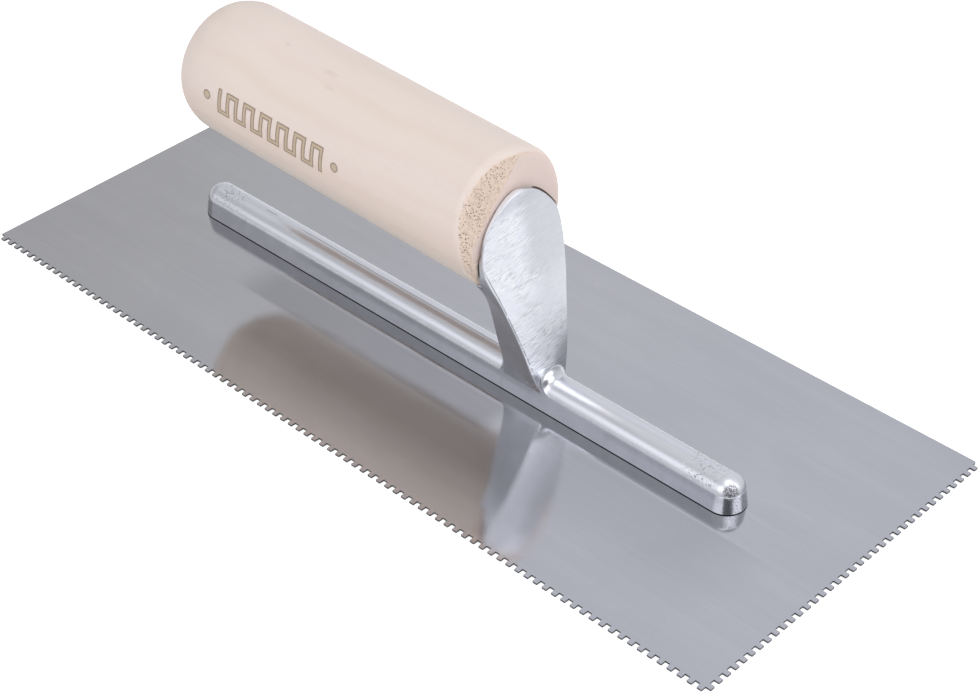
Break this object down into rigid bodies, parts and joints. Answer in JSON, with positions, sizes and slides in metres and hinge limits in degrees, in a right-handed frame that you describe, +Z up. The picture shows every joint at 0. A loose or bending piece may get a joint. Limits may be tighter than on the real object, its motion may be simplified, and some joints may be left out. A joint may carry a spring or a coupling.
{
  "type": "notched trowel",
  "caption": "Rectangular steel trowel blade with fine square notches on one long edge and one end, riveted under a cast rib with a leaning flange that carries a round wooden handle.",
  "frame": {"origin": "centre of the blade's overall outline, on the blade's underside", "axes": "+X along the blade towards its toothed short end, +Y towards the plain long edge, +Z up towards the handle"},
  "size_m": [0.281, 0.1158, 0.0776],
  "materials": {
    "blade_steel": "satin rolled spring steel, faint brushing along the length",
    "rivet_steel": "rivet heads ground flush with the blade",
    "cast_aluminium": "smooth cast sides, polished rib crown, belt-ground front of the flange",
    "handle_wood": "fine sanded pale hardwood, unvarnished",
    "bolt_steel": "bright zinc-plated steel",
    "washer_steel": "bright zinc-plated steel"
  },
  "bodies": {
    "root": {"blade": "blade_steel", "blade_rivets": "rivet_steel", "mounting": "cast_aluminium", "handle": "handle_wood", "handle_bolt": "bolt_steel", "handle_washer": "washer_steel"}
  },
  "joints": []
}
